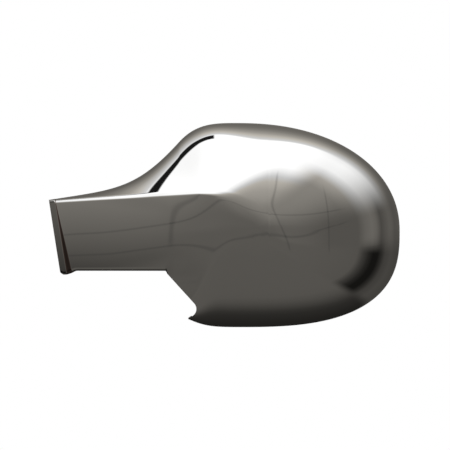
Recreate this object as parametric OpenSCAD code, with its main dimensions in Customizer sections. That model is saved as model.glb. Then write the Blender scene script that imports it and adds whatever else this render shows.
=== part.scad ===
// Wing mirror cover: a thin chromed shell over the mirror head and its arm.
// X runs out from the car along the cover, Z up, Y back towards the mirror glass.
// The origin is the middle of the head, on the plane of the rear rim.

/* [Head] */
// From the tallest section to the outer end of the head
head_reach = 114.4; // [90:0.1:140]
// From the crest line up to the top of the head
head_rise = 77.3; // [60:0.1:95]
// From the crest line down to the bottom of the head
head_drop = 69.3; // [55:0.1:85]
// How far the tallest section lies inboard of the head's middle
crown_shift = 30; // [15:0.5:40]
// How far the crest line lies below the head's middle
crest_shift = 5; // [0:0.5:12]
// From the rear rim to the face of the head
face_depth = 52; // [40:0.5:65]
// Straight wall behind the rounded edge of the head
skirt = 10; // [4:0.5:16]
// Fullness of the outline above the crest line, where 2 is an ellipse
top_fullness = 2.12; // [2:0.02:2.6]
// Fullness of the outline below the crest line
low_fullness = 2.75; // [2.2:0.05:3.4]
// Flatness of the face, where 2 is a plain dome
face_flatness = 3; // [2.2:0.1:4.5]

/* [Shoulder] */
// From the tallest section inboard to the middle of the shoulder
shoulder_run = 44; // [36:0.5:52]
// From the crest line up to the middle of the shoulder
shoulder_rise = 63.4; // [56:0.5:68]
// Slope of the outline at the middle of the shoulder
shoulder_angle = 48; // [40:1:55]
// Slope of the outline at the inboard end of the arm
neck_angle = 9; // [5:1:12]
// Length of the neck's curve handle at the inboard end
neck_start_pull = 46; // [36:1:56]
// Length of the neck's curve handle at the shoulder
neck_end_pull = 46.6; // [38:0.5:54]
// Length of the curve handle from the shoulder towards the crown
shoulder_pull = 18.5; // [14:0.5:22]
// Length of the curve handle at the crown
crown_pull = 19; // [14:0.5:24]

/* [Arm] */
// From the tallest section to the inboard end of the arm
arm_length = 136; // [120:1:170]
// From the crest line down to the lower edge of the arm
arm_drop = 28.5; // [22:0.5:36]
// From the crest line up to the upper edge of the arm's face, at its inboard end
arm_rise = 19.7; // [16:0.1:21]
// From the crest line up to the upper edge of the arm's face, where it meets the head
face_rise = 25.9; // [23:0.1:30]
// Height of the rear flange above the upper edge of the face, at the inboard end
flange_rise = 2.2; // [1:0.1:4]
// How far the arm's face lies behind the head's face at its inboard end
arm_setback = 6; // [0:0.5:14]
// How far the arm's face bulges between its edges
face_crown = 1.2; // [0:0.1:2.5]
// Radius of the arm's lower front edge
edge_radius = 3; // [2.6:0.1:5]
// Slant of the arm's inboard end, in millimetres for each millimetre down
end_slant = 0.16; // [0:0.01:0.25]

/* [Stepped face] */
// How far the head's upper corner falls back behind the arm's face
step_depth = 8; // [3:0.5:10]
// Height over which the upper corner falls back
step_run = 36; // [28:1:45]
// From the tallest section inboard to where the upper corner starts to fall back
recess_start = 90; // [80:1:100]
// From the tallest section inboard to where it falls back fully
recess_full = 50; // [40:1:60]
// From the tallest section outboard to where the step curls down and ends
step_reach = 20; // [12:0.5:30]
// From the tallest section inboard to where the step starts to curl down
curl_run = 30; // [20:0.5:40]
// Fullness of the curl, where 2 is an ellipse
curl_fullness = 2.2; // [2:0.05:3]
// Share of the step's depth that reaches the end of the curl
curl_share = 0.35; // [0:0.05:0.6]
// Angle round the curl below which the step has faded out
fade_angle = -25; // [-40:1:-10]
// Angle round the curl below which only the share of the step is left
share_angle = 35; // [25:1:45]
// Angle round the curl above which the step is full
full_angle = 75; // [60:1:90]
// Width of the rounded crease at the end of the curl
curl_crease = 10.8; // [4:0.2:16]
// Width of the chamfer along the upper edge of the arm's face
band_width = 2.8; // [1.6:0.1:4]
// Fall of the chamfer for each millimetre up
band_slope = 0.7; // [0.4:0.05:1]
// Rounding along each edge of the chamfer
crease_width = 1.2; // [0.6:0.1:2]

/* [End lip] */
// Width of the raised lip round the inboard end
lip_width = 4.3; // [3:0.1:7]
// Height of the lip over the face at its upper end
lip_high_end = 0.8; // [0.3:0.1:2]
// Height of the lip over the face at its lower end
lip_low_end = 5; // [2:0.1:7]
// Place of the lip's lowest point, as a share of its width
lip_low_place = 0.6; // [0.4:0.05:0.9]
// Rise of the lip's lower corner at the inboard end, as a share of its drop
lip_corner = 0.6; // [0:0.05:1]
// Fall of the lip's face towards the end
lip_round = 1.2; // [0:0.1:2]
// Width of the lip's sloping side at its upper end
lip_high_flank = 0.6; // [0.4:0.1:2]
// Width of the lip's sloping side at its lower end
lip_flank = 4.6; // [3:0.1:7]
// How far the lip stands below the arm
lip_drop = 2.7; // [1:0.1:4]

/* [Notch] */
// How far inboard of the tallest section the notch starts under the arm
notch_run = 53.8; // [50:0.1:60]
// From the notch's start outboard to its inner corner
notch_reach = 25.6; // [20:0.1:28]
// From the lower edge of the arm down to the inner corner
notch_depth = 28.1; // [24:0.1:32]
// Radius of the inner corner of the notch
notch_radius = 6; // [3:0.5:8]
// How far inboard of the tallest section the pointed tip below the notch lies
tip_run = 37.3; // [35:0.1:42]
// From the bottom of the head up to the pointed tip
tip_rise = 6.6; // [4:0.1:9]
// Length of the curve handle at the pointed tip
tip_pull = 13.3; // [10:0.1:16]
// Length of the curve handle under the tallest section
bottom_pull = 18.6; // [14:0.1:24]
// Fall of the lower outline at the pointed tip
tip_angle = 25.8; // [20:0.2:32]
// Width over which the outline drops from the arm to the head, inside the notch
notch_blend = 8; // [6:0.5:12]

/* [Shell] */
// Thickness of the moulded wall
wall = 2.4; // [1.8:0.1:3]

/* [Hidden] */
crown_x = -crown_shift;
crest_z = -crest_shift;
end_x = crown_x - arm_length;
top_z = crest_z + head_rise;
low_z = crest_z - head_drop;
arm_low_z = crest_z - arm_drop;
curl_x = crown_x - curl_run;
step_end_x = crown_x + step_reach;
notch_x = crown_x - notch_run;
lip_x = end_x + lip_width;
lip_low_x = end_x + lip_low_place * lip_width;
lip_tail_x = lip_x + 2 * lip_flank;
band_run = 4 * band_width;
rim_overrun = 1;
notch_margin = 20;
notch_steps = 10;
columns_left = 44;
columns_right = 23;
lip_columns = 8;
lip_zone = lip_width + lip_flank + lip_high_flank;
rows_low = 8;
rows_face = 5;
rows_step = 8;
rows_high = 10;

function mix(a, b, t) = a + (b - a) * t;
function ramp(x, from, to) =
    let (t = max(0, min(1, (x - from) / (to - from)))) pow(t, 3) * (10 - 15 * t + 6 * t * t);
function bezier(a, b, c, d, t) =
    pow(1 - t, 3) * a + 3 * pow(1 - t, 2) * t * b + 3 * (1 - t) * t * t * c + pow(t, 3) * d;

// Value of t at which a curve of four X values reaches x
function bezier_t(a, b, c, d, x, lo = 0, hi = 1, n = 22) =
    let (mid = (lo + hi) / 2)
    n == 0 ? mid
    : (bezier(a, b, c, d, mid) - x) * (d - a) < 0 ? bezier_t(a, b, c, d, x, mid, hi, n - 1)
    : bezier_t(a, b, c, d, x, lo, mid, n - 1);

function bezier_z(p, q, r, s, x) =
    let (t = bezier_t(p[0], q[0], r[0], s[0], x)) bezier(p[1], q[1], r[1], s[1], t);

// Relative height of a section outboard of the tallest one, at a share of the reach
function swell(share, fullness) = pow(max(0, 1 - pow(max(0, share), fullness)), 1 / fullness);

// 0 below zero and the rise above it, rounded between half a width to each side
function eased(rise, half) =
    rise < -half ? 0 : rise > half ? rise : pow(rise + half, 2) / (4 * half);

// Upper outline: flange along the arm, shoulder, then the round head
shoulder = [crown_x - shoulder_run, crest_z + shoulder_rise];
shoulder_dir = [cos(shoulder_angle), sin(shoulder_angle)];
flange_end = [end_x, crest_z + arm_rise + flange_rise];
crown_top = [crown_x, top_z];
function upper_outline(x) =
    x < shoulder[0]
    ? bezier_z(flange_end, flange_end + neck_start_pull * [cos(neck_angle), sin(neck_angle)],
               shoulder - neck_end_pull * shoulder_dir, shoulder, x)
    : bezier_z(shoulder, shoulder + shoulder_pull * shoulder_dir,
               crown_top - [crown_pull, 0], crown_top, x);

// Lower outline: the arm, a steep run hidden by the notch, then the head
tip = [crown_x - tip_run, low_z + tip_rise];
crown_low = [crown_x, low_z];
function head_low_edge(x) =
    x < tip[0] ? tip[1] - (x - tip[0]) * tan(tip_angle)
    : bezier_z(tip, tip + tip_pull * [cos(tip_angle), -sin(tip_angle)],
               crown_low - [bottom_pull, 0], crown_low, x);
function lip_bulge(x) =
    1 - ramp(x, lip_low_x, lip_tail_x) - lip_corner * pow(max(0, lip_low_x - x) / (lip_low_x - end_x), 2);
function lower_outline(x) =
    mix(arm_low_z - lip_drop * lip_bulge(x), head_low_edge(x), ramp(x, notch_x, notch_x + notch_blend));

function share(x, inset) = max(0, (x - crown_x) / (head_reach - inset));
function upper_edge(x, inset) =
    x < crown_x ? upper_outline(x) - inset
    : crest_z + (head_rise - inset) * swell(share(x, inset), top_fullness);
function lower_edge(x, inset) =
    x < crown_x ? lower_outline(x) + inset
    : crest_z - (head_drop - inset) * swell(share(x, inset), low_fullness);

// Upper edge of the arm's face, which curls down on the head to the crest line
function step_line(x) =
    x < curl_x ? mix(crest_z + arm_rise, crest_z + face_rise, (x - end_x) / (curl_x - end_x))
    : crest_z + face_rise * swell((x - curl_x) / (step_end_x - curl_x), curl_fullness);

// Cosine of the upper outline's slope, which turns heights into distances from it
slope_step = 0.5;
function outline_lean(x) =
    slope_step / norm([slope_step, upper_outline(min(x, crown_x))
                                   - upper_outline(min(x, crown_x) - slope_step)]);

// 0 at the crest line and 1 at the upper outline, whose height here is edge
function upper_share(x, z, edge, lean) =
    max(0, min(1, x < crown_x ? 1 - (edge - z) * lean / head_rise
                  : (z - crest_z) / max(edge - crest_z, 0.001)));

// How far a dome of this height has fallen at a share of the way up to its outline
function drop(along, local, fullness, height) =
    let (radial = along + pow(local, fullness) * (1 - along))
    height * (1 - sqrt(max(0, 1 - pow(radial, face_flatness / fullness))));

// How far the head's upper corner falls back from the crease round the arm's face
function recess(x, z, inset) =
    let (
        out = max(0, x - curl_x),
        up = z - crest_z + inset,
        n = curl_fullness,
        curl = face_rise * pow(pow(out / (step_end_x - curl_x), n) + pow(max(0, up / face_rise), n), 1 / n),
        past = x < curl_x ? z + inset - step_line(x) : curl - face_rise,
        turn = atan2(up, out),
        strength = mix(curl_share * ramp(turn, fade_angle, -fade_angle), 1,
                       ramp(turn, share_angle, full_angle)),
        neck = ramp(x, crown_x - recess_start, crown_x - recess_full),
        slope = mix(band_slope, 2 * step_depth / step_run, neck),
        run = mix(band_run, step_run, neck),
        soft = mix(crease_width, curl_crease, ramp(x, curl_x, step_end_x)) / 2,
        t = min(1, eased(past, soft) / run)
    )
    strength * slope * run / 2 * (1 - pow(1 - t, 2));

function lip_raise(x, z) =
    let (
        down = max(0, min(1, (step_line(x) - z) / (arm_rise + arm_drop))),
        flank = mix(lip_high_flank, lip_flank, down)
    )
    mix(lip_high_end, lip_low_end, down) * (1 - ramp(x, lip_x, lip_x + flank))
    - lip_round * pow(max(0, lip_x - x) / lip_width, 2);

// Depths of the surface in front of the rear rim, at the heights zs of one section.
// inset is 0 for the outer surface, and the wall for the inner one.
function surface_depths(x, zs, inset) =
    let (
        full = face_depth - inset - arm_setback * pow(max(0, crown_x - x) / arm_length, 2),
        dome = face_depth - skirt - inset,
        low = lower_edge(x, inset),
        high = upper_edge(x, inset),
        lean = outline_lean(x),
        head = ramp(x, notch_x, crown_x),
        low_height = mix(edge_radius, crest_z - low, head),
        low_dome = mix(edge_radius, dome, head),
        low_along = pow(share(x, inset), low_fullness),
        along = pow(share(x, inset), top_fullness),
        line = step_line(x) - inset,
        brow = line + band_width,
        crest_drop = drop(along, 0, top_fullness, dome),
        brow_drop = drop(along, upper_share(x, brow, high, lean), top_fullness, dome),
        past_brow = drop(along, upper_share(x, brow + slope_step, high, lean), top_fullness, dome),
        soft = (past_brow - brow_drop) / slope_step * crease_width / 2,
        flat = 1 - ramp(x, curl_x, step_end_x),
        middle = (line + low) / 2
    )
    [
        for (z = zs) let (
            crown = face_crown * (1 - head) * min(1, pow((z - middle) / (line - middle), 2)),
            face = full - crown - recess(x, z, inset),
            top_drop = drop(along, upper_share(x, z, high, lean), top_fullness, dome),
            fall = mix(top_drop - crest_drop, eased(top_drop - brow_drop, max(soft, 0.001)), flat),
            local = max(0, min(1, 1 - (z - low) / max(low_height, 0.001)))
        )
        lip_raise(x, z) + (
            z > crest_z ? face - crest_drop - fall * (1 - step_depth / dome * flat)
            : face - drop(low_along, local, low_fullness, low_dome))
    ];

// Places of the sections: close together at the lip, the step's end and the outer end
function section_x(i, inset) =
    i <= columns_left ? section_left_x(i)
    : crown_x + (head_reach - inset) * sin(90 * (i - columns_left) / columns_right);
function section_left_x(i) =
    i < lip_columns ? end_x + lip_zone * i / lip_columns
    : mix(end_x + lip_zone, crown_x, (i - lip_columns) / (columns_left - lip_columns));

// Heights of the points of one section, from the lower edge to the upper one
function section_z(x, inset) =
    let (
        low = lower_edge(x, inset),
        high = upper_edge(x, inset),
        line = step_line(x) - inset * (high - low) / (head_rise + head_drop),
        start = line - crease_width,
        brow = min(line + band_width + crease_width, mix(line, high, 0.9)),
        turn = min(0.8 * (start - low), mix(edge_radius, crest_z - low, ramp(x, notch_x, crown_x)))
    )
    [
        for (k = [0 : rows_low]) low + turn * (1 - cos(90 * k / rows_low)),
        for (k = [1 : rows_face]) mix(low + turn, start, k / rows_face),
        for (k = [1 : rows_step]) mix(start, brow, k / rows_step),
        for (k = [1 : rows_high]) mix(brow, high, sin(90 * k / rows_high))
    ];

// Slant of the sections towards the inboard end
function slanted(x, z) =
    x + end_slant * (1 - ramp(x, end_x, end_x + 0.5 * arm_length)) * (flange_end[1] - z);

function section(i, inset) =
    let (
        x = section_x(i, inset),
        zs = section_z(x, inset),
        depths = surface_depths(x, zs, inset),
        low = zs[0],
        high = zs[len(zs) - 1]
    )
    concat(
        [[slanted(x, low), rim_overrun, low]],
        [for (j = [0 : len(zs) - 1]) [slanted(x, zs[j]), -depths[j], zs[j]]],
        [[slanted(x, high), rim_overrun, high]]
    );

last_section = columns_left + columns_right;
last_row = rows_low + rows_face + rows_step + rows_high + 2;
row_count = last_row + 1;
layer_size = (last_section + 1) * row_count;

// At the outer end both edges of the section meet, so the rows share two points there
function point_at(layer, i, j) =
    layer * layer_size + i * row_count
    + (i < last_section ? j : (j == 0 || j == last_row) ? 0 : 1);
function facet(a, b, c) = (a == b || b == c || c == a) ? [] : [[a, b, c]];
function cell(a, b, c, d) = concat(facet(a, b, c), facet(a, c, d));

module shell_solid() {
    points = [for (inset = [0, wall]) for (i = [0 : last_section]) each section(i, inset)];
    faces = [
        for (i = [0 : last_section - 1]) for (j = [0 : last_row - 1])
            each cell(point_at(0, i, j), point_at(0, i, j + 1),
                      point_at(0, i + 1, j + 1), point_at(0, i + 1, j)),
        for (i = [0 : last_section - 1]) for (j = [0 : last_row - 1])
            each cell(point_at(1, i, j), point_at(1, i + 1, j),
                      point_at(1, i + 1, j + 1), point_at(1, i, j + 1)),
        for (j = [0 : last_row - 1])
            each cell(point_at(0, 0, j), point_at(1, 0, j),
                      point_at(1, 0, j + 1), point_at(0, 0, j + 1)),
        for (i = [0 : last_section - 1])
            each cell(point_at(0, i, 0), point_at(0, i + 1, 0),
                      point_at(1, i + 1, 0), point_at(1, i, 0)),
        for (i = [0 : last_section - 1])
            each cell(point_at(0, i, last_row), point_at(1, i, last_row),
                      point_at(1, i + 1, last_row), point_at(0, i + 1, last_row))
    ];
    polyhedron(points, faces, convexity = 8);
}

function unit(v) = v / norm(v);

// Outline of the notch in the front view, with a round inner corner
module notch_outline() {
    start = [notch_x, arm_low_z];
    corner = start + [notch_reach, -notch_depth];
    to_start = unit(start - corner);
    to_tip = unit(tip - corner);
    half_angle = acos(to_start * to_tip) / 2;
    centre = corner + unit(to_start + to_tip) * notch_radius / sin(half_angle);
    from_angle = atan2(to_start[1], to_start[0]) - 90;
    polygon([
        start,
        for (k = [0 : notch_steps])
            let (a = from_angle - k * (180 - 2 * half_angle) / notch_steps)
            centre + notch_radius * [cos(a), sin(a)],
        tip,
        [tip[0], low_z - notch_margin],
        [notch_x - notch_margin, low_z - notch_margin],
        [notch_x - notch_margin, arm_low_z - notch_margin]
    ]);
}

module notch_cut() {
    translate([0, 2 * rim_overrun, 0])
        rotate([90, 0, 0])
        linear_extrude(face_depth + notch_margin) notch_outline();
}

module mirror_cover() {
    color([0.72, 0.72, 0.7])
        difference() {
            shell_solid();
            notch_cut();
            translate([end_x - notch_margin, 0, low_z - notch_margin])
                cube([arm_length + head_reach + 2 * notch_margin, 2 * rim_overrun,
                      head_rise + head_drop + 2 * notch_margin]);
        }
}

mirror_cover();
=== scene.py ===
"""A chromed wing mirror cover, and the light tent that it is shown in."""

import math

import bpy
import numpy as np
from bpy.props import FloatProperty, FloatVectorProperty, IntProperty, PointerProperty
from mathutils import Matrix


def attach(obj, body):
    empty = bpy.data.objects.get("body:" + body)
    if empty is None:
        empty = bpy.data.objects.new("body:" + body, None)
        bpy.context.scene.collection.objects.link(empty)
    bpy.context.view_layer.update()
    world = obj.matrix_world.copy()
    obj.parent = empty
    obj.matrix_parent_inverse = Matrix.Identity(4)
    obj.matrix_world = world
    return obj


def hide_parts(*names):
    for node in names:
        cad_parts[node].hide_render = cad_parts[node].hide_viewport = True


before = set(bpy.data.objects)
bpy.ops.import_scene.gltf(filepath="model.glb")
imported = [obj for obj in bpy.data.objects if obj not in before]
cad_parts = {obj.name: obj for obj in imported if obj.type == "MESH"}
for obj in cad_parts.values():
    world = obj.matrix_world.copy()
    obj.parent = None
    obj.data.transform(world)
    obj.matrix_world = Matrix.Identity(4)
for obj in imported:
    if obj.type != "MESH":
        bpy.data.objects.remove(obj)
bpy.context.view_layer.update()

bl_info = {
    "name": "Wing Mirror Cover",
    "version": (1, 0, 0),
    "blender": (4, 5, 0),
    "location": "View3D > Sidebar > Mirror Cover",
    "description": "Models a chromed wing mirror cover and its light tent",
    "category": "Object",
}

MM = 0.001
CAD_NODE = "mirror_cover"
MERGE_DISTANCE = 1e-6
SMOOTH_ANGLE = math.radians(40)
# Rows of points round the arm's lower edge, over its face, over the chamfer and up to the top,
# and up the straight wall behind each edge
SKIN_ROWS = (24, 24, 22, 44)
WALL_ROWS = 3
# The lower edge's rows end by this share of the way up to the chamfer, and the chamfer's rows by
# this share of the way from it to the top
TURN_LIMIT = 0.8
BROW_LIMIT = 0.9
# Share of the arm's length over which the slant of its end fades out
SLANT_REACH = 0.5
# Chamfer widths over which the recess levels out on the arm
BAND_REACH = 4
# Steps over which a slope is measured, on the upper outline and on the dome
OUTLINE_STEP = 0.5 * MM
DOME_STEP = 0.2 * MM
# Least values that keep a division or a turn from meeting zero
LEAST_HEIGHT = 1e-6
TINY = 1e-9
# Times that a range is halved to find a place on a curve
HALVINGS = 36
# The notch's cutter: steps of its rounded corner, and how far it reaches past the cover
NOTCH_STEPS = 24
CUTTER_MARGIN = 20 * MM


def length(name, description, value_mm):
    return FloatProperty(name=name, description=description, default=value_mm * MM,
                         unit="LENGTH", subtype="DISTANCE")


def number(name, description, value):
    return FloatProperty(name=name, description=description, default=value)


def angle(name, description, degrees):
    return FloatProperty(name=name, description=description, default=math.radians(degrees),
                         subtype="ANGLE")


def count(name, description, value):
    return IntProperty(name=name, description=description, default=value)


def tint(name, description, value):
    return FloatVectorProperty(name=name, description=description, default=value,
                               size=3, min=0, max=1, subtype="COLOR")


class CoverSizes(bpy.types.PropertyGroup):
    """Sizes of the cover, as in the solid model"""

    head_reach: length("Head reach", "From the tallest section to the outer end", 114.4)
    head_rise: length("Head rise", "From the crest line to the top", 77.3)
    head_drop: length("Head drop", "From the crest line to the bottom", 69.3)
    crown_shift: length("Crown shift", "Tallest section inboard of the head's middle", 30)
    crest_shift: length("Crest shift", "Crest line below the head's middle", 5)
    face_depth: length("Face depth", "From the rear rim to the face", 52)
    skirt: length("Skirt", "Straight wall behind the rounded edge", 10)
    top_fullness: number("Top fullness", "Fullness of the upper outline", 2.12)
    low_fullness: number("Low fullness", "Fullness of the lower outline", 2.75)
    face_flatness: number("Face flatness", "Flatness of the face", 3)
    shoulder_run: length("Shoulder run", "Tallest section to the shoulder", 44)
    shoulder_rise: length("Shoulder rise", "Crest line up to the shoulder", 63.4)
    shoulder_angle: angle("Shoulder angle", "Slope at the shoulder", 48)
    shoulder_pull: length("Shoulder pull", "Handle of the upper outline at the shoulder", 18.5)
    crown_pull: length("Crown pull", "Handle of the upper outline at its top", 19)
    neck_angle: angle("Neck angle", "Slope of the upper outline at the inboard end", 9)
    neck_start_pull: length("Neck start pull", "Handle of the neck at the inboard end", 46)
    neck_end_pull: length("Neck end pull", "Handle of the neck at the shoulder", 46.6)
    arm_length: length("Arm length", "Tallest section to the inboard end", 136)
    arm_drop: length("Arm drop", "Crest line to the arm's lower edge", 28.5)
    arm_rise: length("Arm rise", "Crest line to the face's upper edge at the end", 19.7)
    face_rise: length("Face rise", "Crest line to the face's upper edge at the head", 25.9)
    flange_rise: length("Flange rise", "Rear flange above the face's upper edge", 2.2)
    arm_setback: length("Arm setback", "Arm's face behind the head's face at the end", 6)
    face_crown: length("Face crown", "How far the arm's face bulges between its edges", 1.2)
    edge_radius: length("Edge radius", "Arm's lower front edge", 3)
    end_slant: number("End slant", "Slant of the inboard end", 0.16)
    step_depth: length("Step depth", "Head's upper corner behind the arm's face", 8)
    step_run: length("Step run", "Height over which the upper corner falls back", 36)
    curl_share: number("Curl share", "Share of the step's depth that reaches the curl's end", 0.35)
    band_width: length("Band width", "Chamfer along the face's upper edge", 2.8)
    band_end_width: length("Band end width", "Chamfer's width at the inboard end", 1.7)
    band_slope: number("Band slope", "Fall of the chamfer for each millimetre up", 0.7)
    crease_width: length("Crease width", "Rounding along each edge of the chamfer", 1.2)
    step_reach: length("Step reach", "Tallest section outboard to the step's end", 20)
    curl_run: length("Curl run", "Tallest section inboard to the start of the curl", 30)
    curl_fullness: number("Curl fullness", "Fullness of the step's curl", 2.2)
    recess_start: length("Recess start", "Tallest section to where the recess begins", 90)
    recess_full: length("Recess full", "Tallest section to where the recess is full", 50)
    fade_angle: angle("Fade angle", "Turn of the curl at which its crease ends", -25)
    share_angle: angle("Share angle", "Turn of the curl where the depth starts to grow", 35)
    full_angle: angle("Full angle", "Turn of the curl with the full depth", 75)
    curl_crease: length("Curl crease", "Rounding of the crease at the curl's end", 10.8)
    lip_width: length("Lip width", "Raised lip round the inboard end", 4.3)
    lip_high_end: length("Lip upper height", "Lip over the face at the top", 0.8)
    lip_low_end: length("Lip lower height", "Lip over the face at the bottom", 5)
    lip_round: length("Lip round", "Fall of the lip's face towards the end", 1.2)
    lip_high_flank: length("Lip upper flank", "Lip's sloping side at the top", 0.6)
    lip_low_place: number("Lip low place", "Share of the lip's width to its lowest point", 0.6)
    lip_corner: number("Lip corner", "Share of the drop by which its corner is rounded", 0.6)
    lip_flank: length("Lip flank", "Lip's sloping side at the bottom", 4.6)
    lip_drop: length("Lip drop", "How far the lip stands below the arm", 2.7)
    notch_run: length("Notch run", "Tallest section inboard to the notch", 53.8)
    notch_reach: length("Notch reach", "Notch's start to its inner corner", 25.6)
    notch_depth: length("Notch depth", "Arm's lower edge to the inner corner", 28.1)
    notch_radius: length("Notch radius", "Inner corner of the notch", 6)
    tip_run: length("Tip run", "Tallest section inboard to the pointed tip", 37.3)
    tip_rise: length("Tip rise", "Bottom of the head up to the tip", 6.6)
    tip_angle: angle("Tip angle", "Slope of the lower outline at the tip", 25.8)
    tip_pull: length("Tip pull", "Handle of the lower outline at the tip", 13.3)
    bottom_pull: length("Bottom pull", "Handle of the lower outline at the bottom", 18.6)
    notch_blend: length("Notch blend", "Arm's lower edge to the head's at the notch", 8)
    wall: length("Wall", "Thickness of the moulded wall", 2.4)
    columns_lip: count("Lip columns", "Sections across the lip", 12)
    columns_flank: count("Flank columns", "Sections across the lip's side", 26)
    columns_arm: count("Arm columns", "Sections from the lip to the notch", 112)
    columns_notch: count("Notch columns", "Sections over the notch's start", 36)
    columns_neck: count("Neck columns", "Sections from there to the tallest one", 64)
    columns_head: count("Head columns", "Sections over the outer head", 140)


# Brightness of the tent by degrees from straight ahead: below, low at the side, level, high at
# the side and overhead, each with the heights in degrees between which it takes over
TENT_SHADES = (
    (0, 0, ((0, .165), (10, .155), (45, .15), (55, .145), (65, .12), (75, .085), (85, .052),
            (95, .038), (115, .028), (140, .02), (180, .018))),
    (-57, -48, ((0, .165), (10, .16), (45, .14), (51, .07), (57, .03), (63, .012), (70, .012),
                (77, .04), (84, .08), (100, .1), (130, .08), (180, .07))),
    (-9, 3, ((0, .165), (8, .185), (15, .17), (26, .14), (45, .14), (52, .2), (60, .23),
             (66, .2), (74, .11), (82, .14), (92, .17), (100, .16), (110, .13), (180, .12))),
    (14, 54, ((0, .165), (8, .31), (20, .35), (35, .4), (44, .62), (51, 1.15), (58, 1.6),
              (75, 1.7), (85, 1.55), (92, 1.0), (105, .5), (115, .3), (130, .18), (180, .14))),
    (54, 72, ((0, .165), (8, .32), (15, .4), (24, .56), (30, .76), (34, 1.0), (39, 1.5),
              (44, 1.85), (87, 1.9), (90, 1.1), (97, .85), (105, .55), (115, .35), (125, .25),
              (140, .19), (180, .19))),
)
# The dark cloth on the arm's side, how much brighter it gets with height, where it starts in parts
# of the tent's radius, and the heights in degrees over which it comes in and goes out
SIDE_SHADES = ((0, .165), (8, .19), (34, .2), (42, .13), (52, .11), (100, .08), (180, .08))
SIDE_LIFT = 2.4
SIDE_PLACE = (-0.12, -0.28)
SIDE_FOOT = (-45, -25)
SIDE_TOP = (40, 20)
# The dark bar that holds up the roof there: its foot and edges in degrees, its end in parts of
# the tent's radius
BAR_SHADE = 0.015
BAR_FOOT = (38, 44)
BAR_EDGES = ((76.5, 78.5), (88.5, 86))
BAR_END = (-0.15, -0.19)
# Seams of the front cloth, in parts of the tent's radius: the rising ones and the upright ones.
# The core is the share of a seam's half width that is fully dark, and the seams fade out over
# SEAM_FRONT degrees from straight ahead
SEAM_SLOPE = 0.3
SEAM_HEIGHTS = (0.11, -0.02)
SEAM_PLACES = (-0.225, 0.14, 0.42)
SEAM_HALF = 0.008
SEAM_CORE = 0.2
SEAM_FOOT = (-0.12, -0.05)
SEAM_FRONT = (42, 32)
SEAM_SHADE = 0.05
SEAM_STRENGTH = 0.3
# Stops below the limit are a warm grey and brighter ones white
WARM_GREY = (1.06, 1.0, 0.9)
WARM_LIMIT = 0.5
# A ramp's colours end at 1, so they hold the shades divided by the light's strength
TENT_STRENGTH = 2.0
TENT_RADIUS = 0.5
# Degrees from straight ahead at which a ring ends
HALF_TURN = 180
# The floor, and the share of its own white that it shows where it is seen or mirrored
FLOOR_SIZE = 12
FLOOR_HEIGHT = -0.6
FLOOR_GLOW = 0.8
# The camera looks straight at the face, from far off, and takes in this width
CAMERA_DISTANCE = 3.0
CAMERA_X = -41 * MM
CAMERA_Z = -1 * MM
VIEW_WIDTH = 324 * MM
# How far the roughness of the bright plating and of the dull one varies
POLISH_SPREAD = 0.02
FLOW_SPREAD = 0.18
# Shares of the way across the lip's side over which the painted shade comes in and goes out
PAINTED_SHADE_START = (0, 0.12)
PAINTED_SHADE_END = (0.95, 0.8)


class CoverLooks(bpy.types.PropertyGroup):
    """Finishes of the cover, the brown-black of the painted shade beside the lip, and the colour
    of its floor
    """

    chrome: tint("Chrome", "Colour of the bright plating", (0.556, 0.556, 0.554))
    # Painted shade: the brown-black that darkens the chrome on the lip's sloping side
    corner: tint("Corner", "Colour of the thin plating in the corner beside the lip",
                 (0.15, 0.105, 0.095))
    chrome_rough: number("Chrome roughness", "Roughness of the bright plating", 0.035)
    inside: tint("Inside", "Colour of the dull plating inside", (0.4, 0.398, 0.39))
    inside_rough: number("Inside roughness", "Roughness of the dull plating", 0.36)
    inside_metal: number("Inside metal", "Share of bare metal in the dull plating", 0.55)
    floor: tint("Floor", "Colour of the floor", (0.98, 0.98, 0.98))


def mix(a, b, t):
    return a + (b - a) * t


def ramp(x, low, high):
    t = np.clip((x - low) / (high - low), 0, 1)
    return t ** 3 * (10 - 15 * t + 6 * t * t)


def bezier(a, b, c, d, t):
    return (1 - t) ** 3 * a + 3 * (1 - t) ** 2 * t * b + 3 * (1 - t) * t * t * c + t ** 3 * d


def bezier_z(p, q, r, s, x):
    """Height of a curve at x, by halving the range in which its X value is found"""
    low, high = np.zeros_like(x), np.ones_like(x)
    rising = 1 if s[0] > p[0] else -1
    for _ in range(HALVINGS):
        mid = (low + high) / 2
        short = (bezier(p[0], q[0], r[0], s[0], mid) - x) * rising < 0
        low, high = np.where(short, mid, low), np.where(short, high, mid)
    return bezier(p[1], q[1], r[1], s[1], (low + high) / 2)


def eased(rise, half):
    """0 below zero and the rise above it, rounded between half a width to each side"""
    half = np.maximum(half, TINY)
    return np.where(rise < -half, 0, np.where(rise > half, rise, (rise + half) ** 2 / (4 * half)))


def swell(share, fullness):
    """Relative height of a section outboard of the tallest one"""
    return np.maximum(0, 1 - np.maximum(0, share) ** fullness) ** (1 / fullness)


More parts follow.
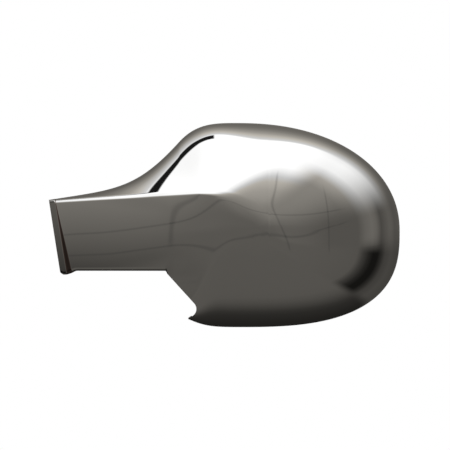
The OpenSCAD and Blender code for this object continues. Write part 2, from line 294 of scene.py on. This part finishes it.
class Surface:
    """The cover's skins: points of the outer one with inset 0, of the inner one with the wall"""

    def __init__(self, s):
        self.s = s
        self.crown_x = -s.crown_shift
        self.crest_z = -s.crest_shift
        self.end_x = self.crown_x - s.arm_length
        self.lip_x = self.end_x + s.lip_width
        self.low_z = self.crest_z - s.head_drop
        self.arm_low_z = self.crest_z - s.arm_drop
        self.curl_x = self.crown_x - s.curl_run
        self.step_end_x = self.crown_x + s.step_reach
        self.notch_x = self.crown_x - s.notch_run
        self.blend_x = (self.notch_x, self.crown_x)
        self.flange_end = np.array([self.end_x, self.crest_z + s.arm_rise + s.flange_rise])
        self.shoulder = np.array([self.crown_x - s.shoulder_run, self.crest_z + s.shoulder_rise])
        self.tip = np.array([self.crown_x - s.tip_run, self.low_z + s.tip_rise])

    def upper_outline(self, x):
        """Z of the upper outline from the inboard end to the tallest section"""
        s = self.s
        slope = np.array([math.cos(s.shoulder_angle), math.sin(s.shoulder_angle)])
        start = np.array([math.cos(s.neck_angle), math.sin(s.neck_angle)])
        top = np.array([self.crown_x, self.crest_z + s.head_rise])
        neck = bezier_z(self.flange_end, self.flange_end + s.neck_start_pull * start,
                        self.shoulder - s.neck_end_pull * slope, self.shoulder, x)
        brow = bezier_z(self.shoulder, self.shoulder + s.shoulder_pull * slope,
                        top - np.array([s.crown_pull, 0]), top, x)
        return np.where(x < self.shoulder[0], neck, brow)

    def lower_outline(self, x):
        """Z of the lower outline from the inboard end to the tallest section"""
        s = self.s
        slope = np.array([math.cos(s.tip_angle), -math.sin(s.tip_angle)])
        low = np.array([self.crown_x, self.low_z])
        run = bezier_z(self.tip, self.tip + s.tip_pull * slope,
                       low - np.array([s.bottom_pull, 0]), low, x)
        straight = self.tip[1] + (x - self.tip[0]) * slope[1] / slope[0]
        head = np.where(x < self.tip[0], straight, run)
        middle = self.end_x + s.lip_low_place * s.lip_width
        corner = (np.maximum(0, middle - x) / (middle - self.end_x)) ** 2
        bulge = s.lip_drop * (
            1 - ramp(x, middle, self.lip_x + 2 * s.lip_flank) - s.lip_corner * corner)
        return mix(self.arm_low_z - bulge, head,
                   ramp(x, self.notch_x, self.notch_x + s.notch_blend))

    def share(self, x, inset):
        """0 at the tallest section and 1 at the outer end"""
        return np.maximum(0, (x - self.crown_x) / (self.s.head_reach - inset))

    def upper_edge(self, x, inset):
        """Z of a skin's upper edge"""
        s = self.s
        head = self.crest_z + (s.head_rise - inset) * swell(self.share(x, inset), s.top_fullness)
        neck = self.upper_outline(np.minimum(x, self.crown_x)) - inset
        return np.where(x < self.crown_x, neck, head)

    def lower_edge(self, x, inset):
        """Z of a skin's lower edge"""
        s = self.s
        head = self.crest_z - (s.head_drop - inset) * swell(self.share(x, inset), s.low_fullness)
        arm = self.lower_outline(np.minimum(x, self.crown_x)) + inset
        return np.where(x < self.crown_x, arm, head)

    def step_line(self, x):
        """Z of the upper edge of the arm's face, along the arm and round the curl"""
        s = self.s
        arm = mix(self.crest_z + s.arm_rise, self.crest_z + s.face_rise,
                  (x - self.end_x) / (self.curl_x - self.end_x))
        curl = self.crest_z + s.face_rise * swell(
            (x - self.curl_x) / (self.step_end_x - self.curl_x), s.curl_fullness)
        return np.where(x < self.curl_x, arm, curl)

    def brow(self, x, line):
        """Upper edge of the chamfer above a line along the step"""
        s = self.s
        along = np.clip((x - self.end_x) / (self.curl_x - self.end_x), 0, 1)
        return line + mix(s.band_end_width, s.band_width, along)

    def outline_lean(self, x):
        """Cosine of the upper outline's slope, which turns heights into distances from it"""
        flat = np.minimum(x, self.crown_x)
        rise = self.upper_outline(flat) - self.upper_outline(flat - OUTLINE_STEP)
        return OUTLINE_STEP / np.hypot(OUTLINE_STEP, rise)

    def upper_share(self, x, z, inset):
        """0 at the crest line and 1 at the upper outline"""
        edge = self.upper_edge(x, inset)
        from_edge = (edge - z) * self.outline_lean(x) / self.s.head_rise
        head = (z - self.crest_z) / np.maximum(edge - self.crest_z, LEAST_HEIGHT)
        return np.clip(np.where(x < self.crown_x, 1 - from_edge, head), 0, 1)

    def drop(self, x, share, fullness, height, inset):
        """How far a dome of this height has fallen at a share of the way to its outline"""
        along = self.share(x, inset) ** fullness
        radial = along + share ** fullness * (1 - along)
        level = np.maximum(0, 1 - radial ** (self.s.face_flatness / fullness))
        return height * (1 - np.sqrt(level))

    def depth(self, x, z, inset):
        """Depth of a skin in front of the rear rim"""
        s = self.s
        full = s.face_depth - inset - s.arm_setback * (
            np.maximum(0, self.crown_x - x) / s.arm_length) ** 2
        dome = s.face_depth - s.skirt - inset
        # Below the crest line: from the arm's tight edge to the head's round one
        low_edge = self.lower_edge(x, inset)
        head = ramp(x, *self.blend_x)
        round_h = mix(s.edge_radius, self.crest_z - low_edge, head)
        low_share = np.clip(1 - (z - low_edge) / np.maximum(round_h, LEAST_HEIGHT), 0, 1)
        low_drop = self.drop(x, low_share, s.low_fullness, mix(s.edge_radius, dome, head), inset)
        # Above it: flat up to the chamfer, then a slope that falls to the upper outline
        line = self.step_line(x) - inset
        brow = self.brow(x, line)

        def dome_drop(height):
            return self.drop(x, self.upper_share(x, height, inset), s.top_fullness, dome, inset)

        top_drop, brow_drop = dome_drop(z), dome_drop(brow)
        crest_drop = self.drop(x, np.zeros_like(x), s.top_fullness, dome, inset)
        slope = (dome_drop(brow + DOME_STEP) - brow_drop) / DOME_STEP
        flat = 1 - ramp(x, self.curl_x, self.step_end_x)
        fall = mix(top_drop - crest_drop,
                   eased(top_drop - brow_drop, slope * s.crease_width / 2), flat)
        middle = (line + self.arm_low_z + inset) / 2
        bulge = ((z - middle) / (line - middle)) ** 2
        # Past the notch's start the crown ends softly instead of at the arm's lower edge
        soft = ramp(x, self.notch_x - s.notch_blend, self.notch_x + s.notch_blend) / 2
        bulge = bulge - eased(bulge - 1, np.where(z < middle, soft, 0))
        crown = s.face_crown * bulge * (1 - head)
        full = full - crown - self.recess(x, z, inset)
        above = full - crest_drop - fall * (1 - s.step_depth / dome * flat)
        return np.where(z > self.crest_z, above, full - low_drop) + self.lip_raise(x, z)

    def recess(self, x, z, inset):
        """How far the head's upper corner falls back from the crease round the arm's face"""
        s = self.s
        reach = self.step_end_x - self.curl_x
        out = np.maximum(0, x - self.curl_x)
        up = z - self.crest_z + inset
        n = s.curl_fullness
        curl = s.face_rise * ((out / reach) ** n + np.maximum(0, up / s.face_rise) ** n) ** (1 / n)
        past = np.where(x < self.curl_x, z + inset - self.step_line(x), curl - s.face_rise)
        turn = np.arctan2(up, out + TINY)
        shared = s.curl_share * ramp(turn, s.fade_angle, -s.fade_angle)
        strength = mix(shared, 1, ramp(turn, s.share_angle, s.full_angle))
        beside_lip = ramp(x, self.lip_x - s.lip_high_flank, self.lip_x)
        neck = ramp(x, self.crown_x - s.recess_start, self.crown_x - s.recess_full)
        # It starts with this slope at the crease and levels out over the run
        slope = mix(s.band_slope, 2 * s.step_depth / s.step_run, neck)
        run = mix(BAND_REACH * s.band_width, s.step_run, neck)
        soft = mix(s.crease_width, s.curl_crease, ramp(x, self.curl_x, self.step_end_x)) / 2
        t = np.minimum(1, eased(past, soft) / run)
        return beside_lip * strength * slope * run / 2 * (1 - (1 - t) ** 2)

    def lip_down(self, x, z):
        """0 at the face's upper edge and 1 at the arm's lower one"""
        return np.clip((self.step_line(x) - z) / (self.s.arm_rise + self.s.arm_drop), 0, 1)

    def lip_raise(self, x, z):
        """How far the lip stands out over the arm's face"""
        s = self.s
        down = self.lip_down(x, z)
        flank = mix(s.lip_high_flank, s.lip_flank, down)
        away = np.maximum(0, self.lip_x - x) / s.lip_width
        return mix(s.lip_high_end, s.lip_low_end, down) * (
            1 - ramp(x, self.lip_x, self.lip_x + flank)) - s.lip_round * away

    def beside_lip(self, x, z):
        """Draws the sections together at the lip's side, which narrows towards the top"""
        s = self.s
        reach = 3 * s.lip_flank
        flank = mix(s.lip_high_flank, s.lip_flank, self.lip_down(x, z))
        past = x - self.lip_x
        drawn = np.where(past < s.lip_flank, past * flank / s.lip_flank,
                         mix(flank, reach, past / (2 * s.lip_flank) - 0.5))
        return np.where((past > 0) & (past < reach), self.lip_x + drawn, x)

    def slanted(self, x, z):
        """X of a point with the slant of the inboard end"""
        fade = 1 - ramp(x, self.end_x, self.end_x + SLANT_REACH * self.s.arm_length)
        return x + self.s.end_slant * fade * (self.flange_end[1] - z)

    def section_places(self, inset):
        """X of each section: close together at the lip and towards the outer end"""
        s = self.s
        marks = (self.end_x, self.lip_x, self.lip_x + s.lip_flank, self.notch_x,
                 self.notch_x + s.notch_blend, self.crown_x)
        counts = (s.columns_lip, s.columns_flank, s.columns_arm, s.columns_notch, s.columns_neck)
        runs = [np.linspace(marks[k], marks[k + 1], n, endpoint=False)
                for k, n in enumerate(counts)]
        turn = np.sin(np.linspace(0, math.pi / 2, s.columns_head + 1))
        return np.concatenate([*runs, self.crown_x + (s.head_reach - inset) * turn])

    def section_heights(self, x, inset):
        """Z of each row of the sections, from the lower edge to the upper one"""
        s = self.s
        low_rows, face_rows, step_rows, high_rows = SKIN_ROWS
        low, high = self.lower_edge(x, inset), self.upper_edge(x, inset)
        line = self.step_line(x) - inset * (high - low) / (s.head_rise + s.head_drop)
        start = line - np.minimum(s.crease_width, (line - low) / 2)
        brow = np.minimum(self.brow(x, line) + s.crease_width, mix(line, high, BROW_LIMIT))
        turn = np.minimum(TURN_LIMIT * (start - low),
                          mix(s.edge_radius, self.crest_z - low, ramp(x, *self.blend_x)))
        parts = []
        for k in range(low_rows + 1):
            parts.append(low + turn * (1 - math.cos(math.pi / 2 * k / low_rows)))
        for k in range(1, face_rows + 1):
            parts.append(mix(low + turn, start, k / face_rows))
        for k in range(1, step_rows + 1):
            parts.append(mix(start, brow, k / step_rows))
        for k in range(1, high_rows + 1):
            parts.append(mix(brow, high, math.sin(math.pi / 2 * k / high_rows)))
        return np.stack(parts, axis=1)

    def points(self, inset):
        """Points of a skin, as an array of sections by rows"""
        x = self.section_places(inset)
        z = self.section_heights(x, inset)
        wide = self.beside_lip(np.repeat(x[:, None], z.shape[1], axis=1), z)
        z = np.stack([self.section_heights(wide[:, row], inset)[:, row]
                      for row in range(z.shape[1])], axis=1)
        depth = self.depth(wide, z, inset)
        skin = np.stack([self.slanted(wide, z), -depth, z], axis=2)
        shares = np.linspace(0, 1, WALL_ROWS, endpoint=False)
        low = np.stack([skin[:, 0] * [1, share, 1] for share in shares], axis=1)
        high = np.stack([skin[:, -1] * [1, share, 1] for share in shares[::-1]], axis=1)
        return np.concatenate([low, skin, high], axis=1)


def deselect():
    if bpy.context.mode != "OBJECT":
        bpy.ops.object.mode_set(mode="OBJECT")
    bpy.ops.object.select_all(action="DESELECT")


def only(obj):
    deselect()
    obj.select_set(True)
    bpy.context.view_layer.objects.active = obj


def skin_grid(name, points):
    """A grid whose points are moved onto a skin of the cover"""
    deselect()
    sections, rows = points.shape[:2]
    bpy.ops.mesh.primitive_grid_add(x_subdivisions=sections - 1, y_subdivisions=rows - 1, size=2)
    grid = bpy.context.object
    grid.name = name
    place = np.empty(len(grid.data.vertices) * 3)
    grid.data.vertices.foreach_get("co", place)
    place = place.reshape(-1, 3)
    i = np.rint((place[:, 0] + 1) / 2 * (sections - 1)).astype(int)
    j = np.rint((place[:, 1] + 1) / 2 * (rows - 1)).astype(int)
    grid.data.vertices.foreach_set("co", points[i, j].ravel())
    grid.data.update()
    return grid


def drop_inner_web(shell, crest_z):
    """Deletes the faces across the wall at the outer end, where the sections close up"""
    bpy.ops.mesh.select_mode(type="FACE")
    bpy.ops.mesh.select_all(action="DESELECT")
    bpy.ops.object.mode_set(mode="OBJECT")
    mesh = shell.data
    height = np.empty(len(mesh.vertices) * 3)
    mesh.vertices.foreach_get("co", height)
    level = np.abs(height.reshape(-1, 3)[:, 2] - crest_z) < MERGE_DISTANCE
    for polygon in mesh.polygons:
        polygon.select = all(level[vertex] for vertex in polygon.vertices)
    bpy.ops.object.mode_set(mode="EDIT")
    bpy.ops.mesh.delete(type="FACE")


def notch_cutter(surface):
    """A prism through the whole cover with the notch's outline in the front view"""
    s = surface.s
    start = np.array([surface.notch_x, surface.arm_low_z])
    corner = start + np.array([s.notch_reach, -s.notch_depth])
    to_start = (start - corner) / np.linalg.norm(start - corner)
    to_tip = (surface.tip - corner) / np.linalg.norm(surface.tip - corner)
    half_angle = math.acos(float(to_start @ to_tip)) / 2
    towards = (to_start + to_tip) / np.linalg.norm(to_start + to_tip)
    centre = corner + towards * s.notch_radius / math.sin(half_angle)
    first = math.atan2(to_start[1], to_start[0]) - math.pi / 2
    turn = math.pi - 2 * half_angle
    outline = [start]
    for k in range(NOTCH_STEPS + 1):
        a = first - k * turn / NOTCH_STEPS
        outline.append(centre + s.notch_radius * np.array([math.cos(a), math.sin(a)]))
    inboard, below = start[0] - CUTTER_MARGIN, surface.low_z - CUTTER_MARGIN
    outline += [surface.tip, (surface.tip[0], below), (inboard, below),
                (inboard, start[1] - CUTTER_MARGIN)]
    deselect()
    mesh = bpy.data.meshes.new("notch_cutter")
    mesh.from_pydata([(x, CUTTER_MARGIN, z) for x, z in outline], [], [range(len(outline))])
    cutter = bpy.data.objects.new("notch_cutter", mesh)
    bpy.context.collection.objects.link(cutter)
    only(cutter)
    bpy.ops.object.mode_set(mode="EDIT")
    bpy.ops.mesh.select_all(action="SELECT")
    bpy.ops.mesh.extrude_region_move(
        TRANSFORM_OT_translate={"value": (0, -s.face_depth - 2 * CUTTER_MARGIN, 0)})
    bpy.ops.mesh.select_all(action="SELECT")
    bpy.ops.mesh.normals_make_consistent(inside=False)
    bpy.ops.object.mode_set(mode="OBJECT")
    return cutter


class Socket:
    """A node's output that takes part in sums: each operator adds its Math node"""

    def __init__(self, tree, link):
        self.tree = tree
        self.link = link

    def math(self, operation, *values):
        return self.tree.node("ShaderNodeMath", {"operation": operation}, *values)

    def __add__(self, other):
        return self.math("ADD", self, other)

    def __radd__(self, other):
        return self.math("ADD", other, self)

    def __sub__(self, other):
        return self.math("SUBTRACT", self, other)

    def __rsub__(self, other):
        return self.math("SUBTRACT", other, self)

    def __mul__(self, other):
        return self.math("MULTIPLY", self, other)

    def __rmul__(self, other):
        return self.math("MULTIPLY", other, self)

    def __neg__(self):
        return self.math("MULTIPLY", self, -1)


class Tree:
    """Builds a material's or world's nodes"""

    def __init__(self, owner):
        owner.use_nodes = True
        self.nodes = owner.node_tree.nodes
        self.links = owner.node_tree.links
        self.nodes.clear()

    def node(self, kind, settings=None, *values, output=0, **named):
        node = self.nodes.new(kind)
        for key, value in (settings or {}).items():
            if key == "stops":
                self.set_stops(node.color_ramp, value)
            else:
                setattr(node, key, value)
        for key, value in list(enumerate(values)) + list(named.items()):
            self.feed(node.inputs[key if isinstance(key, int) else key.replace("_", " ")], value)
        return Socket(self, node.outputs[output] if node.outputs else None)

    def feed(self, socket, value):
        """Links a socket to another one or sets its value"""
        if isinstance(value, Socket):
            self.links.new(value.link, socket)
        else:
            socket.default_value = value

    def rise(self, value, low, high):
        """A smooth step from 0 at the first value to 1 at the second one"""
        return self.node("ShaderNodeMapRange", {"interpolation_type": "SMOOTHSTEP"}, value,
                         float(low), float(high), 0.0, 1.0)

    def blend(self, factor, first, second):
        """A mix of two colours, whose sockets a Mix node only tells apart by their numbers"""
        node = self.nodes.new("ShaderNodeMix")
        node.data_type = "RGBA"
        for socket, value in zip((node.inputs[0], node.inputs[6], node.inputs[7]),
                                 (factor, first, second)):
            self.feed(socket, value)
        return Socket(self, node.outputs[2])

    @staticmethod
    def set_stops(color_ramp, stops):
        while len(color_ramp.elements) > 1:
            color_ramp.elements.remove(color_ramp.elements[-1])
        for n, (place, value) in enumerate(stops):
            element = color_ramp.elements[0] if n == 0 else color_ramp.elements.new(place)
            element.position = place
            grey = WARM_GREY if value < WARM_LIMIT else (1, 1, 1)
            element.color = (*(value * shade for shade in grey), 1)


def new_material(name):
    material = bpy.data.materials.new(name)
    return material, Tree(material)


def lip_corner(tree, place, surface):
    """1 on the sloping side of the lip, where the chrome gets a dark brown painted shade"""
    s = surface.s
    node = tree.node("ShaderNodeSeparateXYZ", None, place).link.node
    x, z = (Socket(tree, node.outputs[k]) for k in (0, 2))
    down = tree.node("ShaderNodeMath", {"operation": "MULTIPLY", "use_clamp": True},
                     (surface.crest_z + s.arm_rise) - z, 1 / (s.arm_rise + s.arm_drop))
    past = x - (float(surface.flange_end[1]) - z) * s.end_slant - surface.lip_x
    share = tree.node("ShaderNodeMath", {"operation": "DIVIDE"}, past,
                      s.lip_high_flank + down * (s.lip_flank - s.lip_high_flank))
    return tree.rise(share, *PAINTED_SHADE_START) * tree.rise(share, *PAINTED_SHADE_END)


def plating_material(looks, surface):
    """Bright plating: a mirror with the faint ripple and uneven polish of a plated moulding, and a
    dark brown painted shade on the lip's sloping side
    """
    material, tree = new_material("bright_plating")
    place = tree.node("ShaderNodeTexCoord", output="Object")
    ripple = tree.node("ShaderNodeTexNoise", None, Vector=place, Scale=26.0, Detail=1.0)
    polish = tree.node("ShaderNodeTexNoise", None, Vector=place, Scale=60.0, Detail=3.0)
    rough = looks.chrome_rough + (polish - 0.5) * POLISH_SPREAD
    bump = tree.node("ShaderNodeBump", None, Strength=0.02, Distance=0.001, Height=ripple)
    # Painted shade: the lip's sloping side is darkened to a brown-black
    colour = tree.blend(lip_corner(tree, place, surface), (*looks.chrome, 1), (*looks.corner, 1))
    shader = tree.node("ShaderNodeBsdfPrincipled", None, Metallic=1.0, Roughness=rough,
                       Normal=bump, Base_Color=colour)
    tree.node("ShaderNodeOutputMaterial", None, Surface=shader)
    return material


def inside_material(looks):
    """Dull plating on the hidden side, grainy from the mould"""
    material, tree = new_material("dull_plating")
    place = tree.node("ShaderNodeTexCoord", output="Object")
    grain = tree.node("ShaderNodeTexNoise", None, Vector=place, Scale=900.0, Detail=2.0)
    flow = tree.node("ShaderNodeTexNoise", None, Vector=place, Scale=18.0, Detail=3.0)
    rough = looks.inside_rough + (flow - 0.5) * FLOW_SPREAD
    bump = tree.node("ShaderNodeBump", None, Strength=0.12, Distance=0.0004, Height=grain)
    shader = tree.node("ShaderNodeBsdfPrincipled", None, Metallic=looks.inside_metal,
                       Roughness=rough, Normal=bump, Base_Color=(*looks.inside, 1))
    tree.node("ShaderNodeOutputMaterial", None, Surface=shader)
    return material


class COVER_OT_shell(bpy.types.Operator):
    """Model the plated shell with its notch"""

    bl_idname = "cover.shell"
    bl_label = "Model the cover"

    def execute(self, context):
        sizes, looks = context.scene.cover_sizes, context.scene.cover_looks
        surface = Surface(sizes)
        outer = skin_grid("cover", surface.points(0))
        inner = skin_grid("inner_skin", surface.points(sizes.wall))
        platings = (plating_material(looks, surface), inside_material(looks))
        for skin in (outer, inner):
            for plating in platings:
                skin.data.materials.append(plating)
        only(inner)
        for polygon in inner.data.polygons:
            polygon.material_index = 1
        outer.select_set(True)
        bpy.context.view_layer.objects.active = outer
        bpy.ops.object.join()
        bpy.ops.object.mode_set(mode="EDIT")
        bpy.ops.mesh.select_mode(type="EDGE")
        bpy.ops.mesh.select_all(action="DESELECT")
        bpy.ops.mesh.select_non_manifold(extend=False, use_wire=False, use_boundary=True,
                                         use_multi_face=False, use_non_contiguous=False,
                                         use_verts=False)
        bpy.ops.mesh.bridge_edge_loops()
        drop_inner_web(outer, surface.crest_z)
        bpy.ops.mesh.select_all(action="SELECT")
        bpy.ops.mesh.remove_doubles(threshold=MERGE_DISTANCE)
        bpy.ops.mesh.normals_make_consistent(inside=False)
        bpy.ops.object.mode_set(mode="OBJECT")
        cutter = notch_cutter(surface)
        only(outer)
        cut = outer.modifiers.new("notch", "BOOLEAN")
        cut.operation = "DIFFERENCE"
        cut.solver = "EXACT"
        cut.object = cutter
        bpy.ops.object.modifier_apply(modifier="notch")
        bpy.ops.object.shade_smooth_by_angle(angle=SMOOTH_ANGLE)
        bpy.data.objects.remove(cutter, do_unlink=True)
        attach(outer, "root")
        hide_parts(CAD_NODE)
        return {"FINISHED"}


def tent_stops(stops):
    """Stops of a ring: degrees as a share of the half turn, and the shades for the ramp"""
    return [(place / HALF_TURN, value / TENT_STRENGTH) for place, value in stops]


def tent_material():
    """Cloth of the light tent: bright overhead, grey in front, dark below and behind"""
    material, tree = new_material("tent_cloth")
    place = tree.node("ShaderNodeTexCoord", output="Object")
    unit = tree.node("ShaderNodeVectorMath", {"operation": "NORMALIZE"}, place)
    node = tree.node("ShaderNodeSeparateXYZ", None, unit).link.node
    x, y, z = (Socket(tree, node.outputs[k]) for k in range(3))
    # Degrees from straight ahead of the cover, and degrees up from level round that axis
    away = tree.node("ShaderNodeMath", {"operation": "ARCCOSINE"}, -y) * math.degrees(1)
    side = tree.node("ShaderNodeMath", {"operation": "ABSOLUTE"}, x)
    around = tree.node("ShaderNodeMath", {"operation": "ARCTAN2"}, z, side) * math.degrees(1)
    turn = away * (1 / HALF_TURN)
    shade = None
    for start, end, stops in TENT_SHADES:
        ring = tree.node("ShaderNodeValToRGB", {"stops": tent_stops(stops)}, turn)
        shade = ring if shade is None else tree.blend(tree.rise(around, start, end), shade, ring)
    level = tree.rise(around, *SIDE_FOOT) * tree.rise(around, *SIDE_TOP)
    side_ring = tree.node("ShaderNodeValToRGB", {"stops": tent_stops(SIDE_SHADES)}, turn)
    side_ring = tree.node("ShaderNodeVectorMath", {"operation": "SCALE"}, side_ring,
                          Scale=1 + z * SIDE_LIFT)
    shade = tree.blend(tree.rise(x, *SIDE_PLACE) * level, shade, side_ring)
    bar = tree.rise(around, *BAR_FOOT) * tree.rise(x, *BAR_END)
    for edges in BAR_EDGES:
        bar = bar * tree.rise(away, *edges)
    shade = tree.blend(bar, shade, (*[BAR_SHADE / TENT_STRENGTH] * 3, 1))
    seams = 0
    upright = tree.rise(z, *SEAM_FOOT)
    for value, places, shown in ((z - x * SEAM_SLOPE, SEAM_HEIGHTS, 1),
                                 (x, SEAM_PLACES, upright)):
        for place in places:
            off = tree.node("ShaderNodeMath", {"operation": "ABSOLUTE"}, value - place)
            seams = seams + tree.rise(off, SEAM_HALF, SEAM_CORE * SEAM_HALF) * shown
    front = tree.rise(away, *SEAM_FRONT) * SEAM_STRENGTH
    shade = tree.blend(seams * front, shade, (*[SEAM_SHADE / TENT_STRENGTH] * 3, 1))
    light = tree.node("ShaderNodeEmission", None, Color=shade, Strength=TENT_STRENGTH)
    tree.node("ShaderNodeOutputMaterial", None, Surface=light)
    return material


def floor_material(looks):
    """Pale floor: white where it is seen or mirrored, with the shadow kept"""
    material, tree = new_material("pale_floor")
    rays = tree.node("ShaderNodeLightPath").link.node.outputs
    seen = (Socket(tree, rays["Is Camera Ray"]) + Socket(tree, rays["Is Glossy Ray"])
            + Socket(tree, rays["Is Transmission Ray"]))
    white = tree.node("ShaderNodeEmission", None, Color=(1, 1, 1, 1), Strength=1.0)
    matt = tree.node("ShaderNodeBsdfDiffuse", None, Color=(*looks.floor, 1))
    both = tree.node("ShaderNodeMixShader", None, seen * FLOOR_GLOW, matt, white)
    tree.node("ShaderNodeOutputMaterial", None, Surface=both)
    return material


class COVER_OT_stage(bpy.types.Operator):
    """Set up the floor, the light tent, the world and the camera"""

    bl_idname = "cover.stage"
    bl_label = "Set the stage"

    def execute(self, context):
        looks = context.scene.cover_looks
        scene = context.scene
        scene.view_settings.view_transform = "Standard"
        deselect()
        bpy.ops.mesh.primitive_plane_add(size=FLOOR_SIZE, location=(0, 0, FLOOR_HEIGHT))
        floor = context.object
        floor.name = "floor"
        floor.data.materials.append(floor_material(looks))
        deselect()
        bpy.ops.mesh.primitive_uv_sphere_add(segments=64, ring_count=32, radius=TENT_RADIUS)
        tent = context.object
        tent.name = "light_tent"
        tent.data.materials.append(tent_material())
        tent.visible_camera = False
        tent.visible_diffuse = False
        tent.visible_shadow = False
        tent.visible_transmission = False
        world = bpy.data.worlds.new("studio")
        scene.world = world
        tree = Tree(world)
        back = tree.node("ShaderNodeBackground", None, Color=(1, 1, 1, 1), Strength=1.0)
        tree.node("ShaderNodeOutputWorld", None, Surface=back)
        camera_data = bpy.data.cameras.new("camera")
        camera = bpy.data.objects.new("camera", camera_data)
        scene.collection.objects.link(camera)
        camera_data.sensor_width = 36
        camera_data.lens = camera_data.sensor_width * CAMERA_DISTANCE / VIEW_WIDTH
        camera.location = (CAMERA_X, -CAMERA_DISTANCE, CAMERA_Z)
        camera.rotation_euler = (math.pi / 2, 0, 0)
        camera_data.clip_start = 0.01
        scene.camera = camera
        return {"FINISHED"}


class COVER_PT_panel(bpy.types.Panel):
    """Lists the steps that model the cover"""

    bl_idname = "COVER_PT_panel"
    bl_label = "Mirror cover"
    bl_space_type = "VIEW_3D"
    bl_region_type = "UI"
    bl_category = "Mirror Cover"

    def draw(self, context):
        self.layout.operator("cover.shell")
        self.layout.operator("cover.stage")


CLASSES = (CoverSizes, CoverLooks, COVER_OT_shell, COVER_OT_stage, COVER_PT_panel)


def register():
    for cls in CLASSES:
        bpy.utils.register_class(cls)
    bpy.types.Scene.cover_sizes = PointerProperty(type=CoverSizes)
    bpy.types.Scene.cover_looks = PointerProperty(type=CoverLooks)


def unregister():
    del bpy.types.Scene.cover_looks
    del bpy.types.Scene.cover_sizes
    for cls in reversed(CLASSES):
        bpy.utils.unregister_class(cls)


def main():
    register()
    bpy.ops.cover.stage()
    bpy.ops.cover.shell()


if __name__ == "__main__":
    main()
